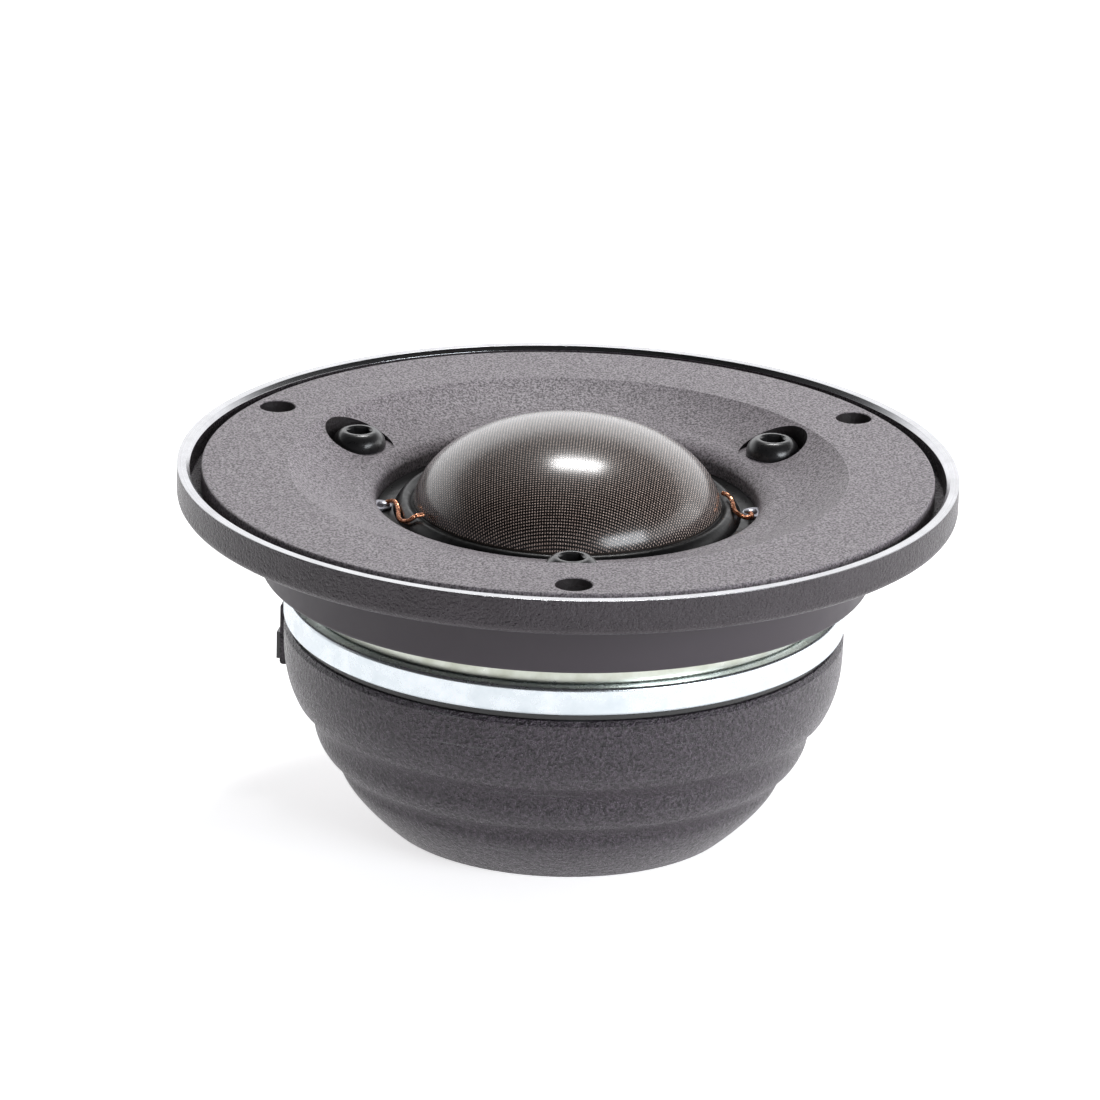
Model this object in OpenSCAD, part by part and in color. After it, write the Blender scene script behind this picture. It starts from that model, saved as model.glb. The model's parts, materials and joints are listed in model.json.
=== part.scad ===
// A 28 mm soft-dome tweeter for a car: a waveguide plate in a round flange, a ring-magnet motor, a rear chamber.
// Millimetres. +Z is the sound axis, the rear cup stands on z = 0, and one mounting hole faces -Y.

/* [Flange] */
// Outside radius of the flange ring
flange_r = 35.4; // [35.2:0.1:37]
// Height of the flange ring's outer wall
flange_h = 3.3; // [3.1:0.1:3.8]
// Height of the flange's machined front face above the cup's base
front_z = 33.6; // [33.6:0.1:35]
// Width of the machined front face, its inner bevel included
face_w = 1.15; // [1.05:0.05:1.2]
// Radius of the circle that the mounting holes lie on
hole_ring_r = 30.8; // [30.4:0.1:31]
// Radius of each mounting hole
hole_r = 1.65; // [1.5:0.05:1.8]
// Outside radius of the collar that drops into the baffle cut-out
collar_r = 27.8; // [27.7:0.1:28.2]
// Height of the collar below the flange
collar_h = 6.3; // [6.1:0.1:6.3]

/* [Waveguide plate] */
// Outside radius of the waveguide plate
plate_r = 33.2; // [33.1:0.05:33.6]
// Depth of the waveguide plate's front below the flange's face
plate_drop = 0.15; // [0.1:0.05:0.2]
// Thickness of the waveguide plate's outer band
plate_t = 2.15; // [2:0.05:2.2]
// Radius of the waveguide's mouth
mouth_r = 25.4; // [25:0.1:26]
// Radius of the waveguide's throat
throat_r = 17.4; // [17.3:0.1:17.6]
// Depth of the waveguide from mouth to throat
guide_depth = 3.4; // [3.2:0.1:3.5]
// Radius of the circle that the plate's screws lie on
screw_ring_r = 22; // [21.9:0.1:22.1]
// Radius of each flat-bottomed screw pocket
pocket_r = 3.15; // [3:0.05:3.2]

/* [Diaphragm] */
// Radius of the dome's base
dome_r = 14; // [13.9:0.05:14.1]
// Height of the dome above its base
dome_h = 7.4; // [7.2:0.05:7.8]
// Thickness of the coated dome fabric
dome_t = 0.3; // [0.2:0.05:0.3]
// Height of the surround's roll
roll_h = 0.65; // [0.5:0.05:0.7]
// Height of the winding
coil_h = 2.8; // [2.6:0.1:3]

/* [Motor] */
// Radius of the front plate of the motor
top_plate_r = 24.4; // [24.2:0.1:24.8]
// Thickness of the front plate of the motor
top_plate_t = 2.3; // [2.2:0.1:2.3]
// Radius of the ring magnet
magnet_r = 25.6; // [25.5:0.1:25.8]
// Thickness of the ring magnet
magnet_t = 2.55; // [2.5:0.05:2.55]
// Thickness of the back plate
back_plate_t = 4; // [3.8:0.1:4]
// Radius of the pole piece
pole_r = 13.35; // [13.2:0.05:13.4]

/* [Rear chamber] */
// Largest radius of the rear cup's upper tier
tier_one_r = 25.55; // [25.5:0.05:25.7]
// Largest radius of the rear cup's middle tier
tier_two_r = 22.7; // [22.5:0.1:22.8]
// Largest radius of the rear cup's bottom tier
tier_three_r = 20.3; // [20.1:0.1:20.4]
// Radius of the foot that the rear cup stands on
foot_r = 16.2; // [15.8:0.1:16.6]
// Bearing of the terminal block's centre, anticlockwise from +X
terminal_angle = 142; // [138:1:146]

/* [Hidden] */
$fn = 96;

// Levels, all heights above the cup's base
flange_under_z = front_z - flange_h;
register_h = 0.25;
register_z = flange_under_z + register_h;
plate_top_z = front_z - plate_drop;
plate_under_z = plate_top_z - plate_t;
ring_top_z = front_z - 4.6;
ring_t = 1.5;
ring_under_z = ring_top_z - ring_t;
collar_under_z = flange_under_z - collar_h;
top_plate_under_z = collar_under_z - top_plate_t;
magnet_under_z = top_plate_under_z - magnet_t;
back_plate_under_z = magnet_under_z - back_plate_t;
cup_rim_z = magnet_under_z - 0.65;
dome_base_z = front_z - 3.4;
pocket_floor_z = front_z - 2.4;
tier_one_under_z = 11.7;
tier_two_z = 9.2;
tier_two_under_z = 6.9;
tier_three_z = 4.9;
foam_top_z = 11.9;

// Fits shared by two pieces
slack = 0.02;
boss_r = 26.6;
boss_bore_r = 26.75;
register_gap = 0.05;
ring_inner_r = 15.8;
ring_outer_r = 20.3;
shelf_r = 17.6;
spigot_r = 8.5;
vent_r = 4;
cap_t = 0.15;
gap_outer_r = dome_r + 0.85;
magnet_bore_r = 20.6;
back_plate_r = 24.2;

// Waveguide curve: a bowl that flattens as it reaches the knee, then a rounded lip down into the throat
knee_r = 19.6;
lip_drop = 1.3;
bowl_depth = guide_depth - lip_drop;
bowl_power = 1.5;
guide_steps = 12;

// Screws
screw_r = 1.45;
screw_hole_r = 1.6;
head_r = 2.45;
head_h = 1.6;
head_land_h = 0.25;
crown_r = 1.5;
socket_af = 2.1;
socket_depth = 1.1;

// Dome, former and winding
dome_sink = 1.1;
dome_semi_h = dome_h + dome_sink;
dome_semi_r = dome_r / sqrt(1 - pow(dome_sink / dome_semi_h, 2));
dome_steps = 28;
former_t = 0.15;
winding_t = 0.45;
gap_mid_z = collar_under_z - top_plate_t / 2;
former_over = 0.2;

// Surround
surround_t = 0.22;
foot_outer_r = 17.35;
roll_outer_r = 15.8;
roll_inner_r = dome_r + 0.15;
roll_rise = 0.7;
roll_steps = 12;

// Solder tabs and leads
tab_z = ring_top_z + surround_t + slack;
tab_t = 0.25;
tab_w = 2.6;
tab_room = tab_w + 0.6;
tab_inner_r = 15.9;
tab_outer_r = 20;
lead_r = 0.22;
wire_r = 0.45;
wire_x = 19;
wire_hole_r = 0.9;
wire_floor_z = back_plate_under_z - 1.6;
cord_sides = 8;
cord_steps = 3;

// Rear cup: each tier is [top radius, top height, bottom radius, bottom height, power of its curve]
tiers = [
    [tier_one_r, cup_rim_z - 0.4, tier_one_r - 1.15, tier_one_under_z, 3],
    [tier_two_r, tier_two_z, tier_two_r - 0.85, tier_two_under_z, 2],
    [tier_three_r, tier_three_z, foot_r, 0, 1.35]
];
tier_steps = 10;
cup_floor_t = 2.2;
cup_wall_t = 2.4;
cup_seat_r = back_plate_r + 0.05;
foam_gap = 0.6;

// Inner wall of the cup, from its floor up to the ledge under the back plate
cup_inside = [
    [foot_r - 1.4, cup_floor_t],
    [tier_three_r - cup_wall_t - 0.4, tier_three_z - 0.5],
    [tier_two_r - cup_wall_t - 1.4, tier_three_z + 1.1],
    [tier_two_r - cup_wall_t, tier_two_z - 0.2],
    [back_plate_r - 2, tier_two_z + 3]
];

// Terminal block, a strip bent round the cup's wall
pad_inner_r = 24.4;
pad_r = 26.15;
block_inner_r = 21.6;
block_r = 26.6;
block_half_h = 1.3;
window_half_h = 0.9;
pad_half_angle = 31;
window_half_angle = 17;
terminal_z = back_plate_under_z - 1.05;

// Blades run out through the window and turn down outside the cup's wall
blades_angle = terminal_angle - 8.5;
blade_spread = 7.5;
blade_inner_r = 20.7;
blade_outer_r = 25.8;
blade_foot_z = 7;
blade_t = 0.5;
blade_top_z = terminal_z + blade_t / 2;

function bowl_point(way) = [
    mouth_r - (mouth_r - knee_r) * way,
    plate_top_z - bowl_depth * (1 - pow(1 - way, bowl_power))
];

function lip_point(turn) = [
    knee_r - (knee_r - throat_r) * sin(turn),
    plate_top_z - bowl_depth - lip_drop * (1 - cos(turn))
];

function tier_outline(t) = [
    for (i = [0 : tier_steps])
        let (way = i / tier_steps)
        [t[0] - (t[0] - t[2]) * pow(way, t[4]), t[1] - (t[1] - t[3]) * way]
];

function cove(from, to) = [
    for (i = [1 : tier_steps - 1])
        let (way = i / tier_steps)
        [from[0] - (from[0] - to[0]) * (1 - pow(1 - way, 2)), from[1] - (from[1] - to[1]) * way]
];

function roll_centre(way) = [
    roll_outer_r - (roll_outer_r - roll_inner_r) * way,
    ring_top_z + surround_t / 2 + roll_h * sin(180 * way) + roll_rise * way
];

function unit(v) = v / norm(v);

function tangents(path) = [
    for (i = [0 : len(path) - 1])
        unit(path[min(i + 1, len(path) - 1)] - path[max(i - 1, 0)])
];

// A direction square to each tangent, carried along so that the cord doesn't twist
function carried(along, i = 0, start = [1, 0.1, 0]) =
    i == len(along) ? [] :
    let (side = unit(start - (start * along[i]) * along[i]))
    concat([side], carried(along, i + 1, side));

function between(a, b, c, d, way) =
    (2 * b + (c - a) * way + (2 * a - 5 * b + 4 * c - d) * way * way
        + (3 * b - a - 3 * c + d) * way * way * way) / 2;

function smooth(stops) = concat(
    [
        for (i = [0 : len(stops) - 2])
            for (k = [0 : cord_steps - 1])
                between(
                    stops[max(i - 1, 0)], stops[i], stops[i + 1],
                    stops[min(i + 2, len(stops) - 1)], k / cord_steps
                )
    ],
    [stops[len(stops) - 1]]
);

module three_round(r) {
    for (i = [0 : 2])
        rotate([0, 0, 120 * i - 90])
            translate([r, 0, 0])
                children();
}

module both_sides(x) {
    for (turn = [0, 180])
        rotate([0, 0, turn])
            translate([x, 0, 0])
                children();
}

// Flat ring between two radii and two heights
module ring(inner_r, outer_r, bottom_z, top_z) {
    translate([0, 0, bottom_z])
        difference() {
            cylinder(r = outer_r, h = top_z - bottom_z);
            translate([0, 0, -1])
                cylinder(r = inner_r, h = top_z - bottom_z + 2);
        }
}

// Part of a ring, centred on a bearing
module ring_sector(inner_r, outer_r, bottom_z, top_z, angle, half_angle) {
    translate([0, 0, bottom_z])
        rotate([0, 0, angle - half_angle])
            rotate_extrude(angle = 2 * half_angle)
                translate([inner_r, 0])
                    square([outer_r - inner_r, top_z - bottom_z]);
}

// Round cord swept along a smooth curve through its stops
module cord(stops, r) {
    path = smooth(stops);
    along = tangents(path);
    side = carried(along);
    rings = [
        for (i = [0 : len(path) - 1])
            for (k = [0 : cord_sides - 1])
                let (turn = 360 * k / cord_sides)
                path[i] + r * (cos(turn) * side[i] + sin(turn) * cross(along[i], side[i]))
    ];
    last = (len(path) - 1) * cord_sides;
    walls = [
        for (i = [0 : len(path) - 2])
            for (k = [0 : cord_sides - 1])
                let (a = i * cord_sides + k, b = i * cord_sides + (k + 1) % cord_sides)
                [a, a + cord_sides, b + cord_sides, b]
    ];
    ends = [[for (k = [0 : cord_sides - 1]) k], [for (k = [cord_sides - 1 : -1 : 0]) last + k]];
    polyhedron(rings, concat(walls, ends));
}

module mounting_holes() {
    three_round(hole_ring_r)
        cylinder(r = hole_r, h = front_z + 5);
}

module flange_ring() {
    inner_r = flange_r - face_w;
    bevel = 0.35;
    under_edge = 0.75;
    front_edge = 0.08;
    color([0.16, 0.16, 0.17])
        difference() {
            rotate_extrude()
                polygon(concat(
                    [
                        [boss_bore_r + 0.1, plate_under_z],
                        [boss_bore_r + 0.1, register_z],
                        [collar_r + register_gap, register_z],
                        [collar_r + register_gap, flange_under_z]
                    ],
                    [
                        for (turn = [0 : 22.5 : 90])
                            [flange_r - under_edge, flange_under_z + under_edge]
                                + under_edge * [sin(turn), -cos(turn)]
                    ],
                    [
                        [flange_r, front_z - front_edge],
                        [flange_r - front_edge, front_z],
                        [inner_r + bevel, front_z],
                        [inner_r, front_z - bevel],
                        [inner_r, plate_under_z]
                    ]
                ));
            mounting_holes();
        }
}

module collar() {
    color([0.12, 0.12, 0.13])
        difference() {
            rotate_extrude()
                polygon([
                    [shelf_r, collar_under_z],
                    [collar_r, collar_under_z],
                    [collar_r, flange_under_z],
                    [collar_r - register_h, register_z],
                    [boss_bore_r, register_z],
                    [boss_bore_r, ring_top_z],
                    [ring_outer_r + 0.1, ring_top_z],
                    [ring_outer_r + 0.1, ring_under_z],
                    [shelf_r, ring_under_z]
                ]);
            three_round(screw_ring_r)
                cylinder(r = screw_hole_r, h = front_z);
            both_sides(wire_x)
                cylinder(r = wire_hole_r, h = front_z);
        }
}

module face_plate() {
    edge = 0.12;
    color([0.3, 0.29, 0.3])
        difference() {
            rotate_extrude()
                polygon(concat(
                    [
                        [throat_r, ring_top_z],
                        [boss_r, ring_top_z],
                        [boss_r, plate_under_z],
                        [plate_r, plate_under_z],
                        [plate_r, plate_top_z - edge],
                        [plate_r - edge, plate_top_z]
                    ],
                    [for (i = [0 : guide_steps]) bowl_point(i / guide_steps)],
                    [for (turn = [15 : 15 : 90]) lip_point(turn)]
                ));
            mounting_holes();
            three_round(screw_ring_r) {
                cylinder(r = screw_hole_r, h = front_z);
                translate([0, 0, pocket_floor_z])
                    cylinder(r = pocket_r, h = front_z);
            }
            // Notches that clear the solder tabs
            both_sides(0)
                translate([throat_r - 1, -tab_room / 2, ring_top_z - 1])
                    cube([tab_outer_r + 1.2 - throat_r, tab_room, tab_z + tab_t - ring_top_z + 1.16]);
        }
}

module face_screws() {
    tip_z = top_plate_under_z + 0.3;
    crown = [
        for (turn = [0 : 15 : 90])
            [
                crown_r + (head_r - crown_r) * pow(cos(turn), 1.3),
                pocket_floor_z + head_land_h + (head_h - head_land_h) * sin(turn)
            ]
    ];
    color([0.08, 0.08, 0.09])
        three_round(screw_ring_r)
            difference() {
                rotate_extrude()
                    polygon(concat(
                        [[0, tip_z], [screw_r, tip_z], [screw_r, pocket_floor_z], [head_r, pocket_floor_z]],
                        crown,
                        [[0, pocket_floor_z + head_h]]
                    ));
                translate([0, 0, pocket_floor_z + head_h - socket_depth])
                    cylinder(r = socket_af / sqrt(3), h = socket_depth + 1, $fn = 6);
            }
}

// One side of the dome, an ellipse cut off a little above its widest level, from the base to the crown
function dome_side(inset) =
    let (low = asin(dome_sink / (dome_semi_h - inset)))
    [
        for (i = [0 : dome_steps])
            let (turn = low + (90 - low) * i / dome_steps)
            [
                (dome_semi_r - inset) * cos(turn),
                dome_base_z - dome_sink + (dome_semi_h - inset) * sin(turn)
            ]
    ];

module dome() {
    inside = dome_side(dome_t);
    color([0.2, 0.19, 0.18])
        rotate_extrude()
            polygon(concat(dome_side(0), [for (i = [dome_steps : -1 : 0]) inside[i]]));
}

module surround() {
    half = surround_t / 2;
    outer = [for (i = [0 : roll_steps]) roll_centre(i / roll_steps) + [0, half]];
    inner = [for (i = [roll_steps : -1 : 0]) roll_centre(i / roll_steps) - [0, half]];
    lip_r = dome_r + slack;
    color([0.05, 0.05, 0.05])
        rotate_extrude()
            polygon(concat(
                [[foot_outer_r, ring_top_z], [foot_outer_r, ring_top_z + surround_t]],
                outer,
                [[lip_r, dome_base_z - 0.05], [lip_r, dome_base_z - 0.6]],
                inner
            ));
}

module coil_former() {
    color([0.75, 0.6, 0.35])
        ring(
            dome_r - former_t,
            dome_r,
            gap_mid_z - coil_h / 2 - former_over,
            dome_base_z
        );
}

module voice_coil() {
    color([0.72, 0.35, 0.16])
        ring(dome_r, dome_r + winding_t, gap_mid_z - coil_h / 2, gap_mid_z + coil_h / 2);
}

module diaphragm_ring() {
    color([0.07, 0.07, 0.08])
        difference() {
            ring(ring_inner_r, ring_outer_r, ring_under_z, ring_top_z);
            both_sides(wire_x)
                cylinder(r = wire_hole_r, h = front_z);
        }
}

module solder_tab() {
    color([0.7, 0.7, 0.72])
        translate([0, 0, tab_z])
            linear_extrude(tab_t)
                difference() {
                    union() {
                        translate([tab_inner_r + tab_w / 2, -tab_w / 2])
                            square([tab_outer_r - tab_inner_r - tab_w / 2, tab_w]);
                        translate([tab_inner_r + tab_w / 2, 0])
                            circle(r = tab_w / 2, $fn = 32);
                    }
                    translate([tab_inner_r + tab_w / 2, 0])
                        circle(r = 0.4, $fn = 32);
                }
}

module solder_tab_right() {
    solder_tab();
}

module solder_tab_left() {
    mirror([1, 0, 0])
        solder_tab();
}

// Each stop is [radius, degrees towards -Y, height above the diaphragm ring], from the tab to the dome
left_stops = [
    [16.4, 0, 0.72], [15.75, 3, 1.1], [15.6, 10, 1.05], [15.9, 16, 0.85],
    [15.9, 20, 0.85], [15.55, 23, 1.15], [15, 24, 1.6], [14.25, 23.5, 1.6]
];
right_stops = [
    [16.6, 3.5, 0.72], [16.8, 7, 0.8], [16.2, 9.5, 0.9], [15.3, 8, 1.25],
    [14.9, 1, 1.55], [14.6, -4, 1.65], [14.25, -7, 1.6]
];

module lead(side, stops) {
    color([0.8, 0.42, 0.22])
        cord(
            [for (s = stops) [side * s[0] * cos(s[1]), -s[0] * sin(s[1]), ring_top_z + s[2]]],
            lead_r
        );
}

module lead_right() {
    lead(1, right_stops);
}

module lead_left() {
    lead(-1, left_stops);
}

module top_plate() {
    color([0.87, 0.85, 0.76])
        difference() {
            ring(gap_outer_r, top_plate_r, top_plate_under_z, collar_under_z);
            three_round(screw_ring_r)
                cylinder(r = screw_r + slack, h = front_z);
            both_sides(wire_x)
                cylinder(r = wire_hole_r, h = front_z);
        }
}

module magnet() {
    edge = 0.15;
    color([0.86, 0.88, 0.9])
        rotate_extrude()
            polygon([
                [magnet_bore_r, magnet_under_z],
                [magnet_r - edge, magnet_under_z],
                [magnet_r, magnet_under_z + edge],
                [magnet_r, top_plate_under_z - edge],
                [magnet_r - edge, top_plate_under_z],
                [magnet_bore_r, top_plate_under_z]
            ]);
}

module back_plate() {
    color([0.6, 0.6, 0.6])
        difference() {
            ring(spigot_r + slack, back_plate_r, back_plate_under_z, magnet_under_z);
            both_sides(wire_x)
                cylinder(r = wire_hole_r, h = front_z);
        }
}

module pole_piece() {
    color([0.62, 0.62, 0.6])
        difference() {
            union() {
                translate([0, 0, back_plate_under_z])
                    cylinder(r = spigot_r, h = back_plate_t);
                translate([0, 0, magnet_under_z])
                    cylinder(r = pole_r, h = collar_under_z - magnet_under_z);
            }
            cylinder(r = vent_r, h = front_z);
        }
}

module copper_cap() {
    skirt = 2.6;
    color([0.78, 0.44, 0.26])
        difference() {
            translate([0, 0, collar_under_z - skirt])
                cylinder(r = pole_r + cap_t, h = skirt + cap_t);
            translate([0, 0, collar_under_z - skirt - 1])
                cylinder(r = pole_r, h = skirt + 1);
            cylinder(r = vent_r, h = front_z);
        }
}

module pole_felt() {
    color([0.55, 0.54, 0.5])
        ring(vent_r, pole_r - 1, collar_under_z + cap_t, collar_under_z + cap_t + 2);
}

module chamber_gasket() {
    color([0.05, 0.05, 0.06])
        ring(back_plate_r + 0.05, tier_one_r - 0.55, cup_rim_z, magnet_under_z);
}

module rear_cup() {
    outline = concat(
        [[tier_one_r - 0.35, cup_rim_z]],
        tier_outline(tiers[0]),
        cove([tiers[0][2], tiers[0][3]], [tiers[1][0], tiers[1][1]]),
        tier_outline(tiers[1]),
        cove([tiers[1][2], tiers[1][3]], [tiers[2][0], tiers[2][1]]),
        tier_outline(tiers[2])
    );
    ledge_r = back_plate_r - 2;
    lining = concat(
        [[0, 0], [0, cup_floor_t]],
        cup_inside,
        [[ledge_r, back_plate_under_z], [cup_seat_r, back_plate_under_z], [cup_seat_r, cup_rim_z]]
    );
    color([0.13, 0.13, 0.14])
        difference() {
            union() {
                rotate_extrude()
                    polygon(concat(lining, outline));
                ring_sector(
                    pad_inner_r,
                    pad_r,
                    terminal_z - block_half_h - 0.2,
                    cup_rim_z,
                    terminal_angle,
                    pad_half_angle
                );
            }
            ring_sector(
                block_inner_r - 2,
                block_r + 1,
                terminal_z - window_half_h,
                terminal_z + window_half_h,
                blades_angle,
                window_half_angle
            );
            blade_slots();
        }
}

module chamber_foam() {
    side = [for (i = [0 : 3]) cup_inside[i] - [foam_gap, 0]];
    color([0.32, 0.32, 0.34])
        rotate_extrude()
            polygon(concat([[0, cup_floor_t]], side, [[side[3][0], foam_top_z], [0, foam_top_z]]));
}

function blade_width(side) = side > 0 ? 4.75 : 2.8;

function blade_bearing(side) = blades_angle + side * blade_spread;

// Room for the two bent blades, a little wider than they are
module blade_slots() {
    for (side = [-1, 1])
        rotate([0, 0, blade_bearing(side)])
            translate([0, -blade_width(side) / 2 - slack, 0]) {
                translate([block_inner_r - 1, 0, blade_top_z - blade_t - slack])
                    cube([
                        blade_outer_r - block_inner_r + 1 + slack,
                        blade_width(side) + 2 * slack,
                        blade_t + 2 * slack
                    ]);
                translate([blade_outer_r - blade_t - slack, 0, blade_foot_z])
                    cube([
                        blade_t + 2 * slack,
                        blade_width(side) + 2 * slack,
                        blade_top_z + slack - blade_foot_z
                    ]);
            }
}

// A plug that fills the cup's window, behind a longer cover strip
module terminal_block() {
    color([0.09, 0.09, 0.1])
        difference() {
            union() {
                ring_sector(
                    block_inner_r,
                    block_r - 0.1,
                    terminal_z - window_half_h + slack,
                    terminal_z + window_half_h - slack,
                    blades_angle,
                    window_half_angle - 0.2
                );
                ring_sector(
                    pad_r + slack,
                    block_r,
                    terminal_z - block_half_h,
                    terminal_z + block_half_h,
                    terminal_angle,
                    pad_half_angle - 2
                );
            }
            blade_slots();
        }
}

// Flat strip that leaves the cup level and turns straight down, with a pierced and clipped foot
module blade(width) {
    nose = 0.8;
    drop = blade_top_z - blade_foot_z;
    color([0.8, 0.78, 0.7])
        union() {
            translate([blade_inner_r, -width / 2, blade_top_z - blade_t])
                cube([blade_outer_r - blade_inner_r, width, blade_t]);
            translate([blade_outer_r - blade_t, 0, blade_top_z])
                rotate([0, 90, 0])
                    linear_extrude(blade_t)
                        difference() {
                            polygon([
                                [0, -width / 2],
                                [drop - nose, -width / 2],
                                [drop, nose - width / 2],
                                [drop, width / 2 - nose],
                                [drop - nose, width / 2],
                                [0, width / 2]
                            ]);
                            translate([drop - 1.8, 0])
                                circle(r = 0.55, $fn = 32);
                        }
        }
}

module terminal_positive() {
    rotate([0, 0, blade_bearing(1)])
        blade(blade_width(1));
}

module terminal_negative() {
    rotate([0, 0, blade_bearing(-1)])
        blade(blade_width(-1));
}

// Where a wire meets the inner end of its blade
function blade_end(side) =
    let (r = blade_inner_r - wire_r)
    [r * cos(blade_bearing(side)), r * sin(blade_bearing(side)), terminal_z];

module wire_positive() {
    color([0.6, 0.1, 0.08])
        cord([
            [-wire_x, 0, tab_z],
            [-wire_x, 0, magnet_under_z],
            [-wire_x, 0, wire_floor_z + 2],
            [-wire_x + 0.2, 1, wire_floor_z],
            [-wire_x + 0.6, 5, wire_floor_z],
            blade_end(1)
        ], wire_r);
}

module wire_negative() {
    color([0.08, 0.08, 0.08])
        cord([
            [wire_x, 0, tab_z],
            [wire_x, 0, magnet_under_z],
            [wire_x, 0, wire_floor_z + 2],
            [wire_x - 0.4, 1, wire_floor_z],
            [16, 8, wire_floor_z],
            [8, 15, wire_floor_z],
            [-4, 17, wire_floor_z],
            blade_end(-1)
        ], wire_r);
}

flange_ring();
collar();
face_plate();
face_screws();
dome();
surround();
coil_former();
voice_coil();
diaphragm_ring();
solder_tab_left();
solder_tab_right();
lead_left();
lead_right();
top_plate();
magnet();
back_plate();
pole_piece();
copper_cap();
pole_felt();
chamber_gasket();
rear_cup();
chamber_foam();
terminal_block();
terminal_positive();
terminal_negative();
wire_positive();
wire_negative();
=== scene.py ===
"""A 28 mm soft-dome car tweeter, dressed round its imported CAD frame."""

import json
import math

import bmesh
import bpy
from mathutils import Matrix, Vector

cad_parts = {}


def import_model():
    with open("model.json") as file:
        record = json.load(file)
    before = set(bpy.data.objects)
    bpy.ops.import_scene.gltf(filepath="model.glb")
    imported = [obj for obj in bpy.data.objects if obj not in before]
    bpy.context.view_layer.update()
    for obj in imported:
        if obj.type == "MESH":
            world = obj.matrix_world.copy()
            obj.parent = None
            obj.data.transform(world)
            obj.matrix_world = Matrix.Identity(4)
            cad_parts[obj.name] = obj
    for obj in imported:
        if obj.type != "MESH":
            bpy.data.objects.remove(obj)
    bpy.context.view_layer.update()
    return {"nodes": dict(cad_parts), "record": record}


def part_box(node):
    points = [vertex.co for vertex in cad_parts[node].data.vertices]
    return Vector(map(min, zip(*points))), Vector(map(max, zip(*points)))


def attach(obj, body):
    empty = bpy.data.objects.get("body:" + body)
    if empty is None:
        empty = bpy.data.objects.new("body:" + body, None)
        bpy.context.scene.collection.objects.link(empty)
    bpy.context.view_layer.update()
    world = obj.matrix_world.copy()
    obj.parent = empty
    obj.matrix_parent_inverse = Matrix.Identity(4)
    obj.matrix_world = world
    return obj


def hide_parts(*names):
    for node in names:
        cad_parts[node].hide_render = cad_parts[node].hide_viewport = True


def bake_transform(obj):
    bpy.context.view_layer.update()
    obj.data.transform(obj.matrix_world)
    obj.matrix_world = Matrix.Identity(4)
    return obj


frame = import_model()

MM = 0.001
TURN = 2 * math.pi

# ---------------------------------------------------------------- sizes, in millimetres, read from the frame


def low_high(node):
    """Lowest and highest corner of a CAD node, in millimetres."""
    low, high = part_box(node)
    return low / MM, high / MM


FLANGE_LOW, FLANGE_HIGH = low_high("flange_ring")
PLATE_HIGH = low_high("face_plate")[1]
COLLAR_LOW, COLLAR_HIGH = low_high("collar")
RING_LOW, RING_HIGH = low_high("diaphragm_ring")
DOME_LOW, DOME_HIGH = low_high("dome")
TOP_LOW, TOP_HIGH = low_high("top_plate")
MAGNET_LOW, MAGNET_HIGH = low_high("magnet")
GASKET_LOW, GASKET_HIGH = low_high("chamber_gasket")
SCREWS_LOW = low_high("face_screws")[0]
TAB_LOW, TAB_HIGH = low_high("solder_tab_right")

FRONT = FLANGE_HIGH.z
MOUNTS = {m["name"]: m for m in frame["record"]["mounts"]}
HOLE_RING = MOUNTS["mounting_holes"]["dims"]["pcd_mm"] / 2
HOLE_R = MOUNTS["mounting_holes"]["dims"]["hole_r_mm"]

# The same choices as in the CAD source, where no node's box gives them
REGISTER = FLANGE_LOW.z + 0.25
FACE_W = 1.15
FACE_BEVEL = 0.35
PLATE_UNDER = FRONT - 2.3
BOSS_R = 26.6
BOSS_BORE_R = 26.75
SHELF_R = 17.6
RING_INNER_R = 15.8
MOUTH_R = 25.4
THROAT_R = 17.4
KNEE_R = 19.6
BOWL_DEPTH = 2.1
LIP_DROP = 1.3
SCREW_RING = 22.0
SCREW_HOLE_R = 1.6
POCKET_R = 3.15
POCKET_FLOOR = FRONT - 2.4
HEAD_R = 2.45
HEAD_H = 1.6
CROWN_R = 1.5
SOCKET_AF = 2.1
DOME_R = DOME_HIGH.x
DOME_H = DOME_HIGH.z - DOME_LOW.z
DOME_T = 0.3
DOME_SINK = 1.1
GAP_R = DOME_R + 0.85
MAGNET_BORE_R = 20.6
ROLL_OUTER_R = 15.8
ROLL_INNER_R = DOME_R + 0.15
ROLL_H = 0.65
ROLL_RISE = 0.7
SURROUND_T = 0.22
FOOT_R = 17.35
CUP_RIM = GASKET_LOW.z
BLOCK_BEARING = 142
PAD_HALF_ANGLE = 31
WINDOW_HALF_ANGLE = 17
WINDOW_TURN = -8.5
POCKET_EDGE = 0.04
PAD_R = 26.15
PAD_LOW = 12.6
WINDOW_LOW, WINDOW_HIGH = 13.2, 15.0
# Bearing in degrees and width of each terminal blade, positive first
BLADES = [(141.0, 4.75), (126.0, 2.8)]
BLADE_OUTER_R = 25.8
BLADE_T = 0.5
BLADE_FOOT, BLADE_TOP = (corner.z for corner in low_high("terminal_positive"))
# Each tier of the cup: top radius and height, low radius and height, and the power of its curve
TIERS = [
    (25.55, CUP_RIM - 0.4, 24.4, 11.7, 3.0),
    (22.7, 9.2, 21.85, 6.9, 2.0),
    (20.3, 4.9, 16.2, 0.0, 1.35),
]

# ---------------------------------------------------------------- mesh helpers


def make(name, bm, body=None):
    """A smooth-shaded object from a bmesh whose lengths are in millimetres."""
    bmesh.ops.scale(bm, vec=(MM, MM, MM), verts=bm.verts)
    bmesh.ops.recalc_face_normals(bm, faces=bm.faces)
    mesh = bpy.data.meshes.new(name)
    bm.to_mesh(mesh)
    bm.free()
    obj = bpy.data.objects.new(name, mesh)
    bpy.context.scene.collection.objects.link(obj)
    smooth(obj)
    if body:
        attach(obj, body)
    return obj


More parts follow.
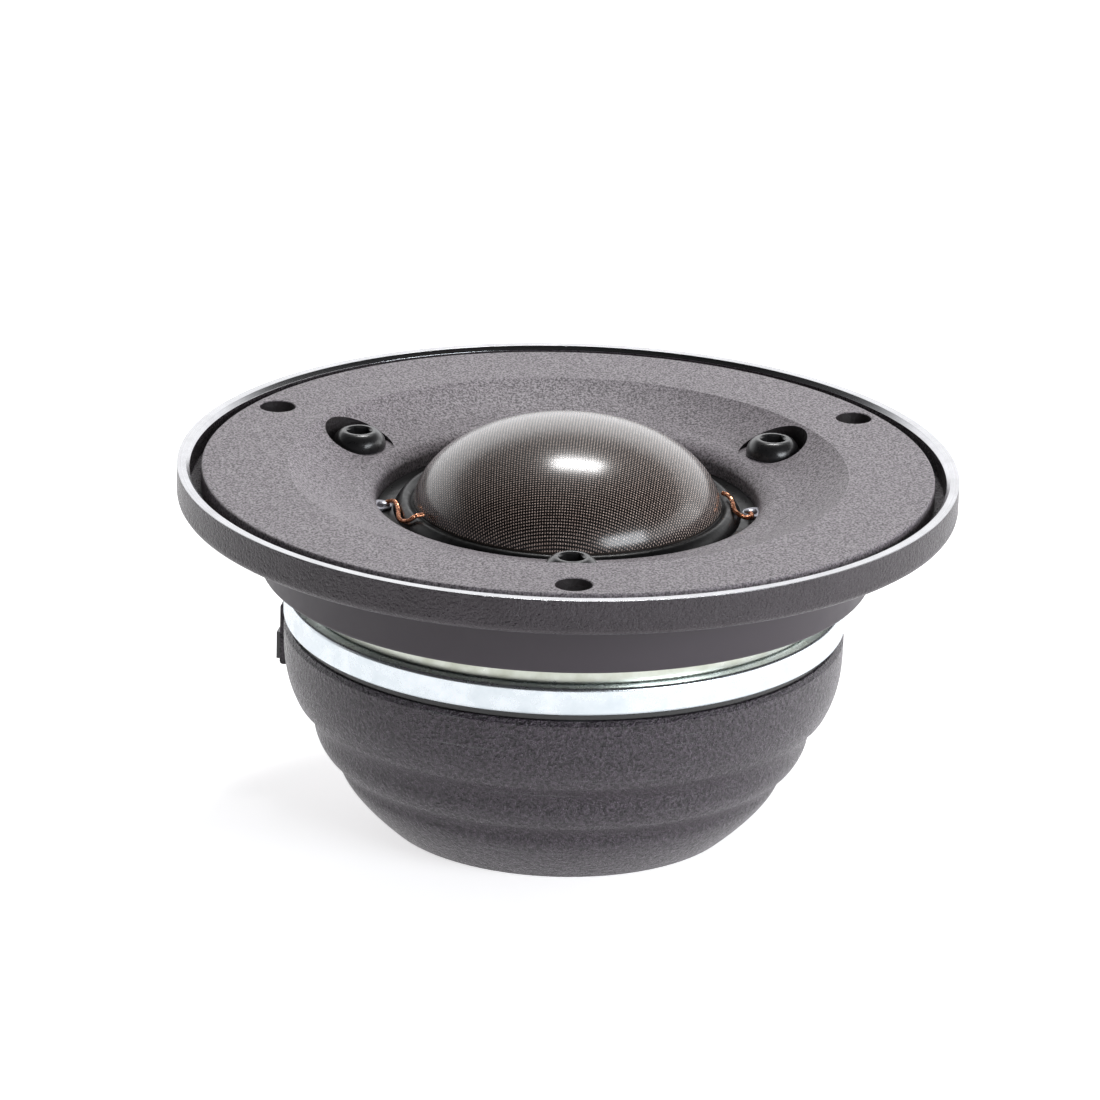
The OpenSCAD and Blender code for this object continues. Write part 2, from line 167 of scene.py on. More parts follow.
def smooth(obj, degrees=32):
    """Smooth shading, with sharp edges kept above an angle."""
    obj.data.polygons.foreach_set("use_smooth", [True] * len(obj.data.polygons))
    obj.data.set_sharp_from_angle(angle=math.radians(degrees))


def rounded(outline, radius=0.12, steps=4):
    """A closed outline with each corner turned into an arc. A third value on a corner is its own radius."""
    points = []
    count = len(outline)
    for i, corner in enumerate(outline):
        here = Vector(corner[:2])
        r = corner[2] if len(corner) > 2 else radius
        to_last = Vector(outline[i - 1][:2]) - here
        to_next = Vector(outline[(i + 1) % count][:2]) - here
        half = to_last.angle(to_next) / 2
        if r <= 0 or half > math.radians(85):
            points.append(here)
            continue
        reach = min(r / math.tan(half), to_last.length * 0.45, to_next.length * 0.45)
        r = reach * math.tan(half)
        a, b = to_last.normalized(), to_next.normalized()
        centre = here + (a + b).normalized() * (r / math.sin(half))
        start, end = here + a * reach, here + b * reach
        spoke_a, spoke_b = start - centre, end - centre
        sweep = spoke_a.angle_signed(spoke_b)
        points.append(start + a * min(0.04, to_last.length * 0.04))
        for k in range(steps + 1):
            turn = -sweep * k / steps
            c, s = math.cos(turn), math.sin(turn)
            spoke = Vector((spoke_a.x * c - spoke_a.y * s, spoke_a.x * s + spoke_a.y * c))
            points.append(centre + spoke)
        points.append(end + b * min(0.04, to_next.length * 0.04))
    return points


def lathe(outline, segments=256, closed=True):
    """A bmesh turned round +Z from an outline of (radius, height)."""
    bm = bmesh.new()
    rings = []
    for r, z in outline:
        if r < 1e-6:
            rings.append([bm.verts.new((0, 0, z))])
            continue
        rings.append([
            bm.verts.new((r * math.cos(TURN * k / segments), r * math.sin(TURN * k / segments), z))
            for k in range(segments)
        ])
    pairs = len(rings) if closed else len(rings) - 1
    for i in range(pairs):
        a, b = rings[i], rings[(i + 1) % len(rings)]
        for k in range(segments):
            n = (k + 1) % segments
            corners = [a[k % len(a)], a[n % len(a)], b[n % len(b)], b[k % len(b)]]
            corners = list(dict.fromkeys(corners))
            if len(corners) > 2:
                bm.faces.new(corners)
    return bm


def turned(name, outline, body="frame", radius=0.12, segments=256):
    """A turned piece with rounded corners."""
    return make(name, lathe(rounded(outline, radius), segments), body)


def three_bearings():
    """The bearings of the three holes, anticlockwise from +X."""
    return [math.radians(120 * i - 90) for i in range(3)]


def cut(obj, cutters, operation="DIFFERENCE"):
    """Cuts each closed bmesh out of obj, exactly, or adds it, and leaves a plain mesh."""
    tools = []
    for k, bm in enumerate(cutters):
        tool = make(f"cutter_{k}", bm)
        modifier = obj.modifiers.new(f"cut_{k}", "BOOLEAN")
        modifier.operation = operation
        modifier.solver = "EXACT"
        modifier.object = tool
        tools.append(tool)
    graph = bpy.context.evaluated_depsgraph_get()
    mesh = bpy.data.meshes.new_from_object(obj.evaluated_get(graph))
    obj.modifiers.clear()
    obj.data = mesh
    for tool in tools:
        bpy.data.objects.remove(tool)
    smooth(obj)


def sector(outline, bearing, half_angle, steps=64):
    """A closed part of a ring, from an outline of (radius, height), centred on a bearing in degrees."""
    bm = bmesh.new()
    rows = []
    for k in range(steps + 1):
        turn = math.radians(bearing - half_angle + 2 * half_angle * k / steps)
        rows.append([bm.verts.new((p[0] * math.cos(turn), p[0] * math.sin(turn), p[1])) for p in outline])
    count = len(outline)
    for a, b in zip(rows, rows[1:]):
        for i in range(count):
            n = (i + 1) % count
            bm.faces.new((a[i], a[n], b[n], b[i]))
    bm.faces.new(rows[0])
    bm.faces.new(list(reversed(rows[-1])))
    return bm


def block(x_range, y_range, z_range, turn=0.0):
    """A box in millimetres, turned round the sound axis by degrees."""
    bm = bmesh.new()
    bmesh.ops.create_cube(bm, size=1)
    spans = (x_range, y_range, z_range)
    for v in bm.verts:
        v.co = Vector([a + (b - a) * (c + 0.5) for (a, b), c in zip(spans, v.co)])
    bmesh.ops.rotate(bm, verts=bm.verts, cent=(0, 0, 0), matrix=Matrix.Rotation(math.radians(turn), 3, "Z"))
    return bm


def at(bm, x, y, z):
    bmesh.ops.translate(bm, vec=(x, y, z), verts=bm.verts)
    return bm


def drill(r, low, high, centre_r, bearing, flare=0.0):
    """A round cutter, which may flare at its top end to break the hole's edge."""
    outline = [(0, low), (r, low), (r, high - flare)]
    if flare:
        outline += [(r + flare, high)]
    outline += [(r + flare, high + 1), (0, high + 1)]
    bm = lathe(outline, 64, closed=False)
    return at(bm, centre_r * math.cos(bearing), centre_r * math.sin(bearing), 0)


def tube(path, radius, sides=8):
    """A closed round tube along a list of points."""
    bm = bmesh.new()
    side = None
    rings = []
    for i, p in enumerate(path):
        along = (path[min(i + 1, len(path) - 1)] - path[max(i - 1, 0)]).normalized()
        side = side or along.orthogonal()
        side = (side - along * side.dot(along)).normalized()
        other = along.cross(side)
        turns = [TURN * k / sides for k in range(sides)]
        rings.append([bm.verts.new(p + radius * (math.cos(a) * side + math.sin(a) * other)) for a in turns])
    for a, b in zip(rings, rings[1:]):
        for k in range(sides):
            n = (k + 1) % sides
            bm.faces.new((a[k], a[n], b[n], b[k]))
    bm.faces.new(list(reversed(rings[0])))
    bm.faces.new(rings[-1])
    return bm


def joined(parts):
    """One bmesh from several."""
    whole = bmesh.new()
    for bm in parts:
        mesh = bpy.data.meshes.new("part")
        bm.to_mesh(mesh)
        bm.free()
        whole.from_mesh(mesh)
        bpy.data.meshes.remove(mesh)
    return whole


# ---------------------------------------------------------------- material helpers


class Shader:
    """A material's node tree, with short calls for the nodes that these finishes use."""

    def __init__(self, name):
        self.material = bpy.data.materials.new(name)
        self.material.use_nodes = True
        self.tree = self.material.node_tree
        self.base = self.tree.nodes["Principled BSDF"]
        place = self.add("ShaderNodeTexCoord")
        scale = self.add("ShaderNodeVectorMath", operation="SCALE")
        self.link(place.outputs["Object"], scale.inputs[0])
        scale.inputs["Scale"].default_value = 1 / MM
        self.place = scale.outputs[0]

    def add(self, kind, **settings):
        node = self.tree.nodes.new(kind)
        for key, value in settings.items():
            setattr(node, key, value)
        return node

    def link(self, out, into):
        self.tree.links.new(out, into)

    def put(self, socket, value):
        """A number or colour sets the socket, and an output is linked to it."""
        if isinstance(value, bpy.types.NodeSocket):
            self.link(value, socket)
        else:
            socket.default_value = value

    def set(self, **values):
        names = {
            "colour": "Base Color", "rough": "Roughness", "metal": "Metallic", "coat": "Coat Weight",
            "coat_rough": "Coat Roughness", "specular": "Specular IOR Level", "sheen": "Sheen Weight",
            "normal": "Normal",
        }
        for key, value in values.items():
            self.put(self.base.inputs[names[key]], value)

    def math(self, operation, a, b=0.0):
        node = self.add("ShaderNodeMath", operation=operation)
        self.put(node.inputs[0], a)
        self.put(node.inputs[1], b)
        return node.outputs[0]

    def noise(self, size, detail=3.0, roughness=0.55, place=None):
        """Noise whose lumps are about size millimetres across."""
        node = self.add("ShaderNodeTexNoise")
        self.link(place or self.place, node.inputs["Vector"])
        node.inputs["Scale"].default_value = 1 / size
        node.inputs["Detail"].default_value = detail
        node.inputs["Roughness"].default_value = roughness
        return node.outputs["Fac"]

    def cells(self, size):
        """Distance to the middle of the nearest of many cells, each about size millimetres across."""
        node = self.add("ShaderNodeTexVoronoi")
        self.link(self.place, node.inputs["Vector"])
        node.inputs["Scale"].default_value = 1 / size
        return node.outputs["Distance"]

    def ramp(self, value, stops):
        """Colours or greys at stops from 0 to 1."""
        node = self.add("ShaderNodeValToRGB")
        marks = node.color_ramp.elements
        while len(marks) < len(stops):
            marks.new(0.5)
        for mark, (position, colour) in zip(marks, stops):
            mark.position = position
            grey = isinstance(colour, (int, float))
            mark.color = (colour, colour, colour, 1) if grey else (*colour, 1)
        self.link(value, node.inputs["Fac"])
        return node.outputs["Color"]

    def mix(self, share, a, b):
        node = self.add("ShaderNodeMix", data_type="RGBA")
        self.put(node.inputs["Factor"], share)
        self.put(node.inputs["A"], (*a, 1) if isinstance(a, tuple) else a)
        self.put(node.inputs["B"], (*b, 1) if isinstance(b, tuple) else b)
        return node.outputs["Result"]

    def bump(self, height, depth, normal=None):
        """A bump whose full height is depth millimetres."""
        node = self.add("ShaderNodeBump")
        node.inputs["Distance"].default_value = depth * MM
        self.link(height, node.inputs["Height"])
        if normal is not None:
            self.link(normal, node.inputs["Normal"])
        return node.outputs["Normal"]

    def parts(self):
        """X, Y and Z in millimetres."""
        node = self.add("ShaderNodeSeparateXYZ")
        self.link(self.place, node.inputs[0])
        return node.outputs

    def radius(self):
        """Distance from the sound axis in millimetres."""
        x, y, _ = self.parts()
        return self.math("SQRT", self.math("ADD", self.math("MULTIPLY", x, x), self.math("MULTIPLY", y, y)))


def coat_black(name, level, rough, lump, depth, fine=0.12, fine_depth=0.02, specular=0.5):
    """A textured black coating: lumps with a finer grain on them, and rubbed spots."""
    s = Shader(name)
    lumps = s.noise(lump, 2.0, 0.5)
    grain = s.noise(fine, 3.0, 0.6)
    wear = s.noise(4.0, 4.0, 0.6)
    low, high = level
    s.set(
        colour=s.mix(s.ramp(wear, [(0.3, 0.0), (0.75, 1.0)]), low, high),
        rough=s.ramp(grain, [(0.3, rough - 0.08), (0.7, rough + 0.1)]),
        specular=specular,
        normal=s.bump(grain, fine_depth, s.bump(lumps, depth)),
    )
    return s.material


def flange_coat():
    tones = (0.022, 0.015, 0.020), (0.036, 0.027, 0.034)
    return coat_black("flange_coat", tones, rough=0.30, lump=0.4, depth=0.12, fine=0.25, fine_depth=0.2)


def cup_coat():
    """Leathery black coat with faint streaks round it, and grain coloured lighter on its raised bumps: partly
    random tone, partly painted glints.
    """
    s = Shader("cup_coat")
    lumps = s.noise(0.5, 2.0, 0.6)
    grain = s.noise(0.3, 3.0, 0.7)
    squash = s.add("ShaderNodeMapping")
    squash.inputs["Scale"].default_value = (0.08, 0.08, 3.0)
    s.link(s.place, squash.inputs["Vector"])
    streaks = s.noise(0.7, 3.0, 0.7, squash.outputs[0])
    scuffs = s.ramp(streaks, [(0.62, 0.0), (0.68, 1.0)])
    # The grain's raised bumps are coloured lighter than its hollows: partly random tone, partly painted
    # glints on the bump tops.
    tone = s.mix(s.ramp(grain, [(0.4, 0.0), (0.62, 1.0)]), (0.008, 0.005, 0.008), (0.072, 0.054, 0.073))
    s.set(
        colour=s.mix(scuffs, tone, (0.075, 0.070, 0.078)),
        rough=s.ramp(grain, [(0.3, 0.4), (0.7, 0.2)]),
        specular=0.6,
        normal=s.bump(grain, 0.3, s.bump(lumps, 0.2)),
    )
    return s.material


def satin_black():
    s = Shader("satin_black")
    film = s.noise(1.6, 4.0, 0.6)
    s.set(
        colour=s.mix(film, (0.029, 0.021, 0.028), (0.038, 0.029, 0.038)),
        rough=s.ramp(film, [(0.3, 0.40), (0.7, 0.50)]),
        normal=s.bump(s.noise(0.15, 2.0), 0.004),
    )
    return s.material


def plate_speckle():
    """Fine matt texture in two greys, with pits."""
    s = Shader("plate_speckle")
    grain = s.noise(0.2, 3.0, 0.75)
    lumps = s.noise(0.5, 2.0, 0.6)
    patches = s.noise(6.0, 3.0, 0.6)
    speckle = s.ramp(grain, [(0.4, 0.0), (0.6, 1.0)])
    tone = s.mix(speckle, (0.095, 0.083, 0.091), (0.415, 0.372, 0.400))
    s.set(
        colour=s.mix(s.ramp(patches, [(0.3, 0.0), (0.8, 0.2)]), tone, (0.21, 0.19, 0.205)),
        rough=s.ramp(speckle, [(0.0, 0.6), (1.0, 0.42)]),
        specular=0.4,
        normal=s.bump(grain, 0.022, s.bump(lumps, 0.02)),
    )
    return s.material


def machined(name, colour, rough, streak=0.12):
    """Bare metal turned on a lathe: fine rings at the same distance from the axis."""
    s = Shader(name)
    r = s.radius()
    _, _, z = s.parts()
    rings = s.add("ShaderNodeCombineXYZ")
    s.link(r, rings.inputs[0])
    s.link(z, rings.inputs[2])
    marks = s.noise(streak, 2.0, 0.5, rings.outputs[0])
    film = s.noise(3.0, 4.0, 0.6)
    darker = tuple(c * 0.82 for c in colour)
    s.set(
        colour=s.mix(s.ramp(film, [(0.35, 0.0), (0.75, 1.0)]), colour, darker),
        metal=1.0,
        rough=s.ramp(marks, [(0.3, rough - 0.06), (0.7, rough + 0.1)]),
        normal=s.bump(marks, 0.0008),
    )
    return s.material


def plated(name, colour, tint, rough):
    """Plated steel: a cloudy film over a very fine grain."""
    s = Shader(name)
    cloud = s.noise(2.2, 5.0, 0.65)
    grain = s.noise(0.18, 3.0, 0.6)
    s.set(
        colour=s.mix(s.ramp(cloud, [(0.35, 0.0), (0.7, 1.0)]), colour, tint),
        metal=1.0,
        rough=s.ramp(cloud, [(0.3, rough - 0.05), (0.7, rough + 0.08)]),
        normal=s.bump(grain, 0.0015),
    )
    return s.material


def dome_cloth():
    """Open weave under a clear coat: dark threads, with a warm light dot in each gap."""
    s = Shader("dome_cloth")
    weave = s.add("ShaderNodeUVMap", uv_map="cloth")
    across = s.add("ShaderNodeSeparateXYZ")
    s.link(weave.outputs[0], across.inputs[0])
    side = [
        s.math("ABSOLUTE", s.math("SINE", s.math("MULTIPLY", across.outputs[k], math.pi)))
        for k in range(2)
    ]
    gap = s.math("MULTIPLY", side[0], side[1])
    thread = s.math("MAXIMUM", s.math("SUBTRACT", 1.0, side[0]), s.math("SUBTRACT", 1.0, side[1]))
    patches = s.noise(1.4, 3.0, 0.6)
    fleck = s.noise(0.22, 2.0, 0.7)
    open_gap = s.ramp(gap, [(0.5, 0.0), (0.92, 1.0)])
    dots = s.math("MULTIPLY", open_gap, s.ramp(fleck, [(0.25, 0.35), (0.65, 1.0)]))
    warm = s.mix(patches, (0.60, 0.42, 0.35), (0.88, 0.72, 0.64))
    s.set(
        colour=s.mix(dots, (0.005, 0.0035, 0.0035), warm),
        rough=s.ramp(thread, [(0.2, 0.34), (0.9, 0.5)]),
        specular=0.12,
        coat=1.0,
        coat_rough=0.2,
        normal=s.bump(thread, 0.015),
    )
    return s.material


def gloss_black(name, rough, level, grain_mm=0.6, depth=0.01, coat=0.3, specular=0.5):
    """Smooth black moulding, rubber or oxide, with a thin clear film unless coat is 0."""
    s = Shader(name)
    grain = s.noise(grain_mm, 4.0, 0.6)
    s.set(
        colour=s.mix(grain, (level, level, level), (level * 1.8, level * 1.7, level * 1.8)),
        rough=s.ramp(grain, [(0.3, rough - 0.05), (0.7, rough + 0.1)]),
        specular=specular,
        coat=coat,
        coat_rough=0.15,
        normal=s.bump(grain, depth),
    )
    return s.material


def copper(name, colour=(0.93, 0.46, 0.27), dark=(0.42, 0.13, 0.06), rough=0.28):
    s = Shader(name)
    stain = s.noise(0.5, 4.0, 0.65)
    s.set(
        colour=s.mix(s.ramp(stain, [(0.35, 0.0), (0.75, 1.0)]), colour, dark),
        metal=1.0,
        rough=s.ramp(stain, [(0.3, rough - 0.08), (0.7, rough + 0.15)]),
        normal=s.bump(stain, 0.01),
    )
    return s.material


def film(name, colour, tint, rough):
    s = Shader(name)
    cloud = s.noise(1.0, 4.0, 0.6)
    s.set(colour=s.mix(cloud, colour, tint), rough=rough, coat=0.5, normal=s.bump(cloud, 0.004))
    return s.material


def felt(name, colour, tint):
    s = Shader(name)
    fibres = s.noise(0.25, 6.0, 0.75)
    s.set(colour=s.mix(fibres, colour, tint), rough=0.95, sheen=0.3, normal=s.bump(fibres, 0.25))
    return s.material


def foam(name, colour, tint):
    s = Shader(name)
    pores = s.cells(0.7)
    # The colour darkens towards the middle of each pore, where the bump is lowest: painted shade in the pits.
    s.set(
        colour=s.mix(s.ramp(pores, [(0.1, 0.0), (0.6, 1.0)]), tint, colour),
        rough=0.95,
        normal=s.bump(pores, 0.5),
    )
    return s.material


def wear(obj, *materials):
    obj.data.materials.clear()
    for m in materials:
        obj.data.materials.append(m)


def wear_cad(node, material):
    """Gives a CAD node its finish by its object's own slots."""
    obj = frame["nodes"][node]
    if not obj.material_slots:
        obj.data.materials.append(material)
    for slot in obj.material_slots:
        slot.link = "OBJECT"
        slot.material = material
    return obj


# ---------------------------------------------------------------- pieces


def stands_for(obj, node):
    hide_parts(node)
    return obj


def flange_ring():
    outer, inner = FLANGE_HIGH.x, FLANGE_HIGH.x - FACE_W
    ring = turned("flange_ring_body", [
        (BOSS_BORE_R + 0.1, REGISTER, 0.05),
        (COLLAR_HIGH.x + 0.05, REGISTER, 0.05),
        (COLLAR_HIGH.x + 0.05, FLANGE_LOW.z, 0.05),
        (outer, FLANGE_LOW.z, 0.75),
        (outer, FRONT, 0.07),
        (outer - 0.13, FRONT, 0),
        (inner + FACE_BEVEL + 0.1, FRONT, 0),
        (inner + FACE_BEVEL, FRONT, 0.05),
        (inner, FRONT - FACE_BEVEL, 0.05),
        (inner, PLATE_UNDER, 0.2),
        (BOSS_BORE_R + 0.1, PLATE_UNDER),
    ], segments=384)
    cut(ring, [drill(HOLE_R, FLANGE_LOW.z - 1, FRONT, HOLE_RING, b) for b in three_bearings()])
    wear(ring, flange_coat(), machined("flange_face", (0.53, 0.53, 0.545), 0.22))
    for face in ring.data.polygons:
        centre = face.center / MM
        r = math.hypot(centre.x, centre.y)
        if centre.z > FRONT - FACE_BEVEL - 0.03 and r > inner - 0.01 and r < outer - 0.005:
            face.material_index = 1
    return stands_for(ring, "flange_ring")


def collar():
    piece = turned("collar_body", [
        (SHELF_R, COLLAR_LOW.z),
        (COLLAR_HIGH.x, COLLAR_LOW.z, 0.25),
        (COLLAR_HIGH.x, COLLAR_HIGH.z, 0),
        (BOSS_BORE_R, COLLAR_HIGH.z),
        (BOSS_BORE_R, RING_HIGH.z),
        (RING_HIGH.x + 0.1, RING_HIGH.z),
        (RING_HIGH.x + 0.1, RING_LOW.z),
        (SHELF_R, RING_LOW.z),
    ])
    cut(piece, [drill(SCREW_HOLE_R, COLLAR_LOW.z - 1, FRONT, SCREW_RING, b) for b in three_bearings()])
    wear(piece, satin_black())
    return stands_for(piece, "collar")


def waveguide(bowl_steps=48, lip_steps=18):
    """From the mouth down a bowl that flattens at the knee, then over a rounded lip into the throat."""
    bowl = [
        (
            MOUTH_R - (MOUTH_R - KNEE_R) * k / bowl_steps,
            PLATE_HIGH.z - BOWL_DEPTH * (1 - (1 - k / bowl_steps) ** 1.5),
            0,
        )
        for k in range(1, bowl_steps)
    ]
    lip = [
        (
            KNEE_R - (KNEE_R - THROAT_R) * math.sin(math.pi / 2 * k / lip_steps),
            PLATE_HIGH.z - BOWL_DEPTH - LIP_DROP * (1 - math.cos(math.pi / 2 * k / lip_steps)),
            0,
        )
        for k in range(lip_steps + 1)
    ]
    return bowl + lip


def paint_shade_on_hole_walls(plate):
    """Gives the upright walls of the mounting holes and screw pockets the plate's second material: a
    near-black coat that is painted shade in these recesses.
    """
    holes = [
        (ring * math.cos(b), ring * math.sin(b), r)
        for b in three_bearings()
        for ring, r in ((HOLE_RING, HOLE_R), (SCREW_RING, POCKET_R))
    ]
    for face in plate.data.polygons:
        spot = face.center / MM
        upright = abs(face.normal.z) < 0.5
        if upright and any(math.hypot(spot.x - x, spot.y - y) < r + POCKET_EDGE for x, y, r in holes):
            face.material_index = 1


def face_plate():
    """The speckled plate. Rings of points across its flat keep the shading there flat."""
    flat = [(r, PLATE_HIGH.z, 0) for r in (32.8, 31.0, 29.0, 27.0)]
    plate = turned("face_plate_body", [
        (THROAT_R, RING_HIGH.z, 0.05),
        (BOSS_R, RING_HIGH.z),
        (BOSS_R, PLATE_UNDER),
        (PLATE_HIGH.x, PLATE_UNDER),
        (PLATE_HIGH.x, PLATE_HIGH.z, 0.18),
        *flat,
        (MOUTH_R, PLATE_HIGH.z, 0.06),
        *waveguide(),
    ], segments=384)
    holes = [
        drill(HOLE_R, PLATE_UNDER - 1, PLATE_HIGH.z, HOLE_RING, b, flare=0.08) for b in three_bearings()
    ]
    pockets = [drill(POCKET_R, POCKET_FLOOR, FRONT + 1, SCREW_RING, b) for b in three_bearings()]
    shanks = [drill(SCREW_HOLE_R, RING_HIGH.z - 1, FRONT, SCREW_RING, b) for b in three_bearings()]
    cut(plate, holes + pockets + shanks)
    smooth(plate, 12)
    # Near-black tones for the hole and pocket walls: painted shade in the recesses.
    hole_shade_tones = (0.014, 0.011, 0.012), (0.030, 0.024, 0.026)
    wear(plate, plate_speckle(), coat_black("hole_wall_painted_shade", hole_shade_tones, rough=0.5, lump=0.3, depth=0.1))
    paint_shade_on_hole_walls(plate)
    return stands_for(plate, "face_plate")


def hexagon(across_flats, low, high):
    corner = across_flats / math.sqrt(3)
    return lathe([(0, low), (corner, low), (corner, high), (0, high)], 6, closed=False)


def face_screws():
    """Three button heads: a rounded crown, a small land round the socket, and a broken lower edge."""
    steps, land_h, floor_break = 16, 0.25, 0.1
    crown = [
        (
            CROWN_R + (HEAD_R - CROWN_R) * math.cos(math.pi / 2 * k / steps) ** 1.3,
            land_h + (HEAD_H - land_h) * math.sin(math.pi / 2 * k / steps),
        )
        for k in range(steps)
    ]
    shank_h = POCKET_FLOOR - SCREWS_LOW.z
    outline = [
        (0, -shank_h), (1.25, -shank_h), (1.45, 0.3 - shank_h), (1.45, 0),
        (HEAD_R - floor_break, 0), (HEAD_R, floor_break), *crown, (CROWN_R - 0.05, HEAD_H), (0, HEAD_H),
    ]
    bodies = []
    for bearing in three_bearings():
        screw = make("screw", lathe(outline, 96, closed=False))
        socket = hexagon(SOCKET_AF, HEAD_H - 1.1, HEAD_H + 1)
        mouth = lathe([(0, HEAD_H - 0.2), (1.05, HEAD_H - 0.2), (1.32, HEAD_H + 0.05), (0, HEAD_H + 0.05)],
                      48, closed=False)
        cut(screw, [socket, mouth])
        turned_by = Matrix.Rotation(bearing + 0.4, 4, "Z")
        place = Matrix.Translation(Vector((math.cos(bearing), math.sin(bearing), 0)) * SCREW_RING * MM
                                   + Vector((0, 0, POCKET_FLOOR * MM)))
        screw.data.transform(place @ turned_by)
        bodies.append(screw)
    whole = bmesh.new()
    for screw in bodies:
        whole.from_mesh(screw.data)
        bpy.data.objects.remove(screw)
    mesh = bpy.data.meshes.new("face_screws_set")
    whole.to_mesh(mesh)
    whole.free()
    obj = bpy.data.objects.new("face_screws_set", mesh)
    bpy.context.scene.collection.objects.link(obj)
    smooth(obj)
    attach(obj, "frame")
    wear(obj, gloss_black("black_oxide", 0.3, 0.012, 0.25, 0.008))
    return stands_for(obj, "face_screws")


def dome():
    """The pressed cloth dome: a shell with a grid that runs straight across, as flat cloth does."""
    pitch, rings, segments = 0.262, 72, 192
    turn = math.radians(4)
    bulge_share = 0.35
    semi_h = DOME_H + DOME_SINK
    semi_r = DOME_R / math.sqrt(1 - (DOME_SINK / semi_h) ** 2)
    centre = DOME_LOW.z - DOME_SINK

    def side(inset):
        low = math.asin(DOME_SINK / (semi_h - inset))
        turns = [low + (math.pi / 2 - low) * k / rings for k in range(rings + 1)]
        return [((semi_r - inset) * math.cos(t), centre + (semi_h - inset) * math.sin(t)) for t in turns]

    outside = [(r if r > 1e-4 else 0, z) for r, z in reversed(side(0))]
    inside = [(r if r > 1e-4 else 0, z) for r, z in side(DOME_T)]
    bm = lathe(outside + inside, segments, closed=False)
    cloth = bm.loops.layers.uv.new("cloth")
    for face in bm.faces:
        for loop in face.loops:
            p = loop.vert.co
            flat_r = math.hypot(p.x, p.y)
            arc = semi_r * math.atan2(flat_r, (p.z - centre) * semi_r / semi_h)
            spread = bulge_share * arc + (1 - bulge_share) * flat_r
            stretch = spread / flat_r if flat_r > 1e-6 else 1.0
            x, y = p.x * stretch / pitch, p.y * stretch / pitch
            loop[cloth].uv = (
                x * math.cos(turn) - y * math.sin(turn),
                x * math.sin(turn) + y * math.cos(turn),
            )
    piece = make("dome_cloth_shell", bm, "diaphragm")
    wear(piece, dome_cloth())
    return stands_for(piece, "dome")


def surround():
    """A rolled rubber ring, from its outer foot on the diaphragm ring to its inner lip at the dome's edge."""
    steps, half = 20, SURROUND_T / 2
    centre = [
        (
            ROLL_OUTER_R - (ROLL_OUTER_R - ROLL_INNER_R) * k / steps,
            RING_HIGH.z + half + ROLL_H * math.sin(math.pi * k / steps) + ROLL_RISE * k / steps,
        )
        for k in range(steps + 1)
    ]
    outer = [(r, z + half, 0) for r, z in centre]
    inner = [(r, z - half, 0) for r, z in reversed(centre)]
    lip = DOME_R + 0.02
    outline = rounded([
        (FOOT_R, RING_HIGH.z), (FOOT_R, RING_HIGH.z + SURROUND_T), *outer,
        (lip, DOME_LOW.z - 0.05), (lip, DOME_LOW.z - 0.6), *inner,
    ], 0.06, 3)
    piece = make("surround_roll", lathe(outline))
    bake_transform(piece)
    wear(piece, gloss_black("surround_rubber", 0.3, 0.004, coat=0.0, specular=0.22))
    return stands_for(piece, "surround")


# Each stop is (radius, degrees towards -Y, height above the diaphragm ring), from the tab to the dome
LEFT_STOPS = [
    (16.4, 0, 0.72), (15.75, 3, 1.1), (15.6, 10, 1.05), (15.9, 16, 0.85),
    (15.9, 20, 0.85), (15.55, 23, 1.15), (15.0, 24, 1.6), (14.25, 23.5, 1.6),
]
RIGHT_STOPS = [
    (16.6, 3.5, 0.72), (16.8, 7, 0.8), (16.2, 9.5, 0.9), (15.3, 8, 1.25),
    (14.9, 1, 1.55), (14.6, -4, 1.65), (14.25, -7, 1.6),
]


def smooth_path(stops, steps):
    """Points on a smooth curve through the stops."""
    path = []
    for i in range(len(stops) - 1):
        a, b = stops[max(i - 1, 0)], stops[i]
        c, d = stops[i + 1], stops[min(i + 2, len(stops) - 1)]
        for k in range(steps):
            t = k / steps
            path.append((2 * b + (c - a) * t + (2 * a - 5 * b + 4 * c - d) * t * t
                         + (3 * b - a - 3 * c + d) * t ** 3) / 2)
    return path + [stops[-1]]


def lead(side, lead_stops, name, node):
    """Fine copper strands twisted together."""
    strands, strand_r, lay_r, turns = 5, 0.075, 0.135, 7
    stops = [
        Vector((
            side * r * math.cos(math.radians(a)),
            -r * math.sin(math.radians(a)),
            RING_HIGH.z + h,
        ))
        for r, a, h in lead_stops
    ]
    middle = smooth_path(stops, 14)
    up = Vector((0, 0, 1))
    parts = []
    for s in range(strands):
        path = []
        for i, p in enumerate(middle):
            along = (middle[min(i + 1, len(middle) - 1)] - middle[max(i - 1, 0)]).normalized()
            out = along.cross(up).normalized()
            other = out.cross(along)
            turn = TURN * (s / strands + turns * i / len(middle))
            path.append(p + lay_r * (math.cos(turn) * out + math.sin(turn) * other))
        parts.append(tube(path, strand_r, 6))
    piece = make(name, joined(parts))
    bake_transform(piece)
    wear(piece, copper("lead_copper_" + name))
    return stands_for(piece, node)


